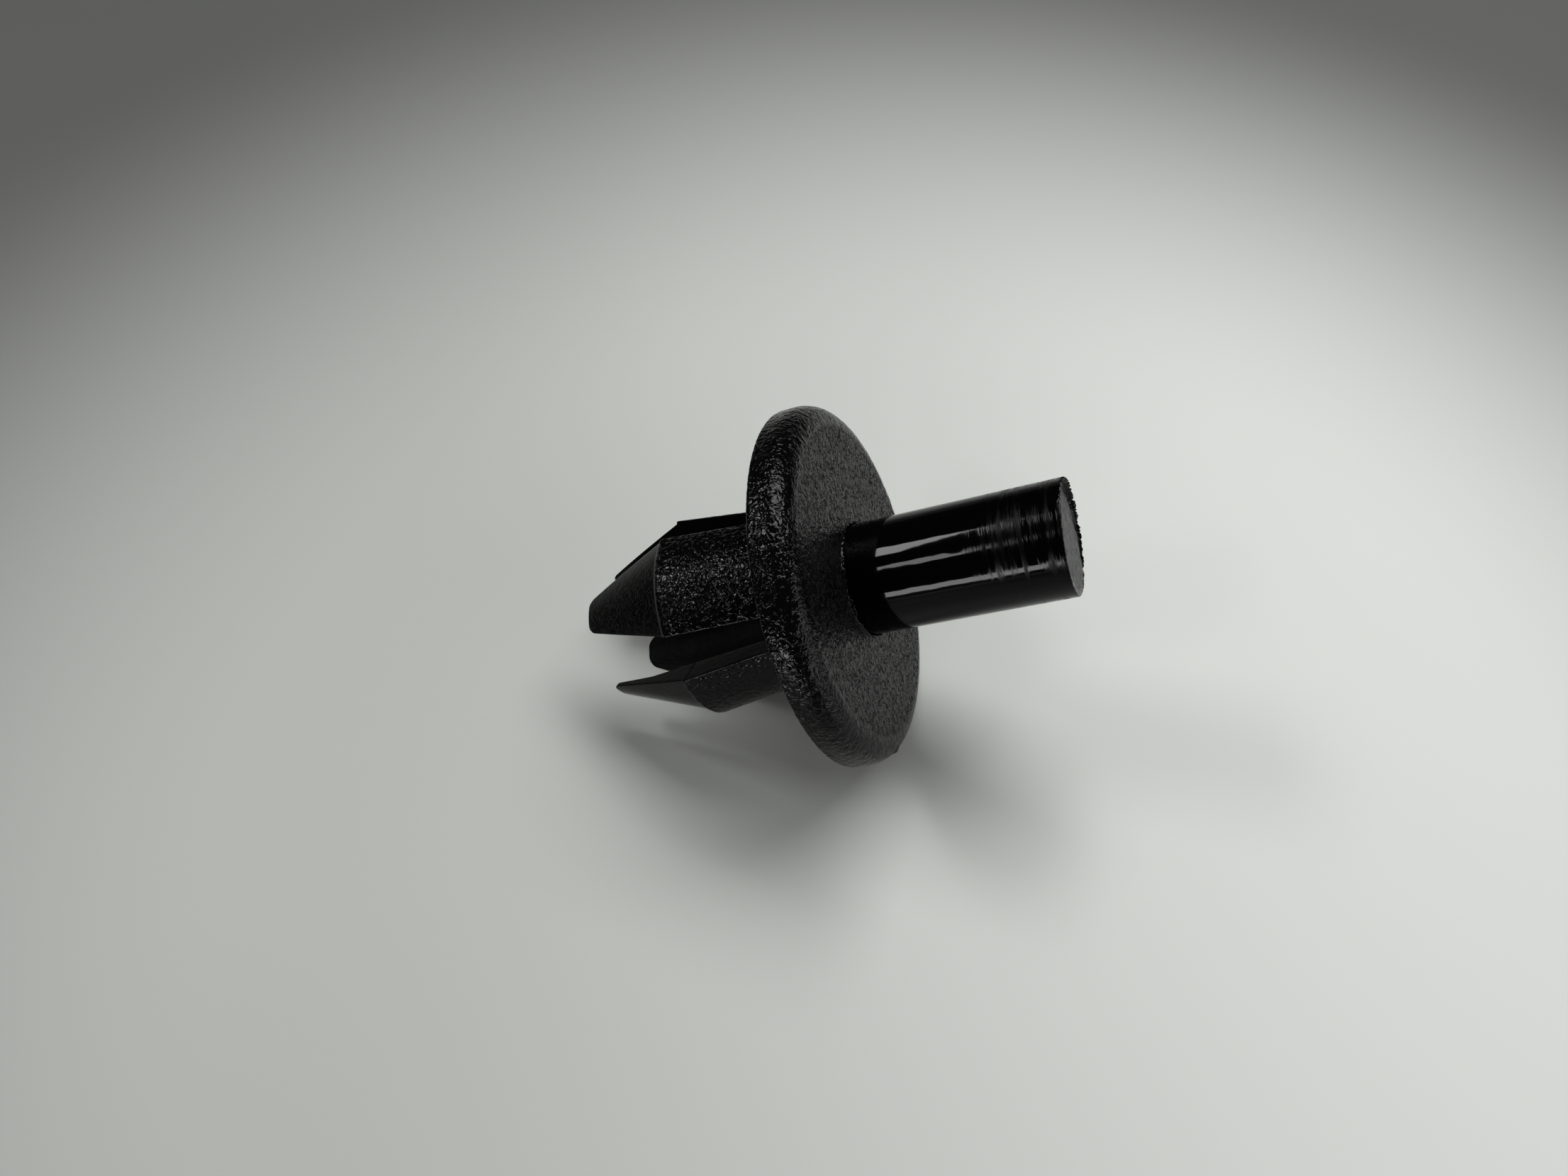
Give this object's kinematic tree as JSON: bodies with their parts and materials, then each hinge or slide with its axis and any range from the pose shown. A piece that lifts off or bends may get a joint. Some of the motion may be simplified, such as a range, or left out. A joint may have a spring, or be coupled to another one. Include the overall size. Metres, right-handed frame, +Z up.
{
  "type": "plastic push rivet",
  "caption": "Push-in panel fastener: a round flange on a neck with split, tapered legs, and a drive pin standing proud of the flange that slides in until flush.",
  "frame": {"origin": "middle of the bounding box's base, on the surface that the rivet lies on", "axes": "+X is the side to which the pin end points, along the rivet's length; the rivet's own axis leans up from +X by 26.4 degrees; +Y is across; +Z up"},
  "size_m": [0.0202, 0.015, 0.0137],
  "materials": {
    "textured_plastic": "black nylon with a coarse spark-eroded mould texture",
    "polished_plastic": "black nylon, smooth and glossy, scuffed towards its rough cut end"
  },
  "bodies": {
    "body": {"rivet_body": "textured_plastic"},
    "pin": {"push_pin": "polished_plastic"}
  },
  "joints": [
    {"name": "pin_drive", "type": "slide", "parent": "body", "child": "pin", "axis": [-0.8961, 0, -0.4439], "range_m": [0, 0.00875]}
  ]
}
